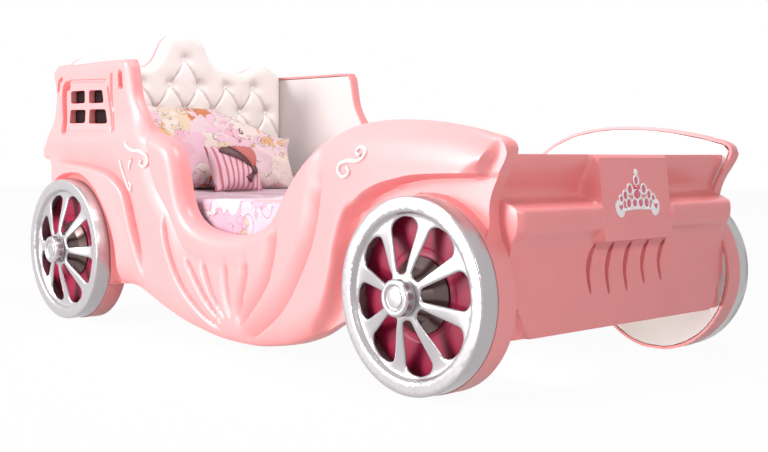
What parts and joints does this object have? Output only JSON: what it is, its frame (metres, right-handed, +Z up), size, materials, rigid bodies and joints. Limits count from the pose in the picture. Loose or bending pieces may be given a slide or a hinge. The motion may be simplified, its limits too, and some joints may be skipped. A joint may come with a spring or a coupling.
{
  "type": "carriage bed",
  "caption": "Children's bed shaped as a carriage, with moulded side panels and wheels, a moulded foot panel, a buttoned headboard, slats, mattress and bedding.",
  "frame": {"origin": "on the floor, under the middle of the bed", "axes": "+X across the bed, +Y from the foot to the headboard, +Z up"},
  "size_m": [1.2652, 2.243, 1.038],
  "materials": {
    "pink_shell": "glossy pink moulded plastic",
    "pink_board": "pink lacquered fibreboard",
    "white_board": "satin white faced fibreboard",
    "window_dark": "dark red-brown sheet",
    "white_plastic": "glossy white",
    "grey_plastic": "metallic grey lacquer",
    "magenta_plastic": "glossy magenta",
    "leatherette": "white leatherette, buttoned",
    "pine": "plain pine",
    "steel": "zinc plated",
    "ticking": "off-white ticking",
    "cotton": "printed pink cotton"
  },
  "bodies": {
    "root": {"side_shell_left": "pink_shell", "side_board_left": "white_board", "window_back_left": "window_dark", "side_shell_right": "pink_shell", "side_board_right": "white_board", "window_back_right": "window_dark", "foot_shell": "pink_shell", "foot_board": "white_board", "tiara": "white_plastic", "headboard_pad": "leatherette", "headboard_board": "pink_board", "front_wheel_rim_left": "white_plastic", "front_wheel_hub_cap_left": "white_plastic", "front_wheel_cone_left": "grey_plastic", "front_wheel_dish_left": "magenta_plastic", "front_wheel_rim_right": "white_plastic", "front_wheel_hub_cap_right": "white_plastic", "front_wheel_cone_right": "grey_plastic", "front_wheel_dish_right": "magenta_plastic", "rear_wheel_rim_left": "white_plastic", "rear_wheel_hub_cap_left": "white_plastic", "rear_wheel_cone_left": "grey_plastic", "rear_wheel_dish_left": "magenta_plastic", "rear_wheel_rim_right": "white_plastic", "rear_wheel_hub_cap_right": "white_plastic", "rear_wheel_cone_right": "grey_plastic", "rear_wheel_dish_right": "magenta_plastic", "front_scroll_left": "white_plastic", "front_scroll_right": "white_plastic", "rear_scroll_upper_left": "white_plastic", "rear_scroll_upper_right": "white_plastic", "rear_scroll_comma_left": "white_plastic", "rear_scroll_comma_right": "white_plastic", "rear_scroll_lower_left": "white_plastic", "rear_scroll_lower_right": "white_plastic", "side_rail_left": "pine", "side_rail_right": "pine", "slat_01": "pine", "slat_02": "pine", "slat_03": "pine", "slat_04": "pine", "slat_05": "pine", "slat_06": "pine", "slat_07": "pine", "slat_08": "pine", "slat_09": "pine", "slat_10": "pine", "slat_11": "pine", "slat_12": "pine", "slat_13": "pine", "slat_14": "pine", "foot_bracket_left": "steel", "foot_bracket_right": "steel", "head_bracket_left": "steel", "head_bracket_right": "steel", "mattress": "ticking", "bedspread": "cotton", "pillow": "cotton", "bow_cushion": "cotton"}
  },
  "joints": []
}
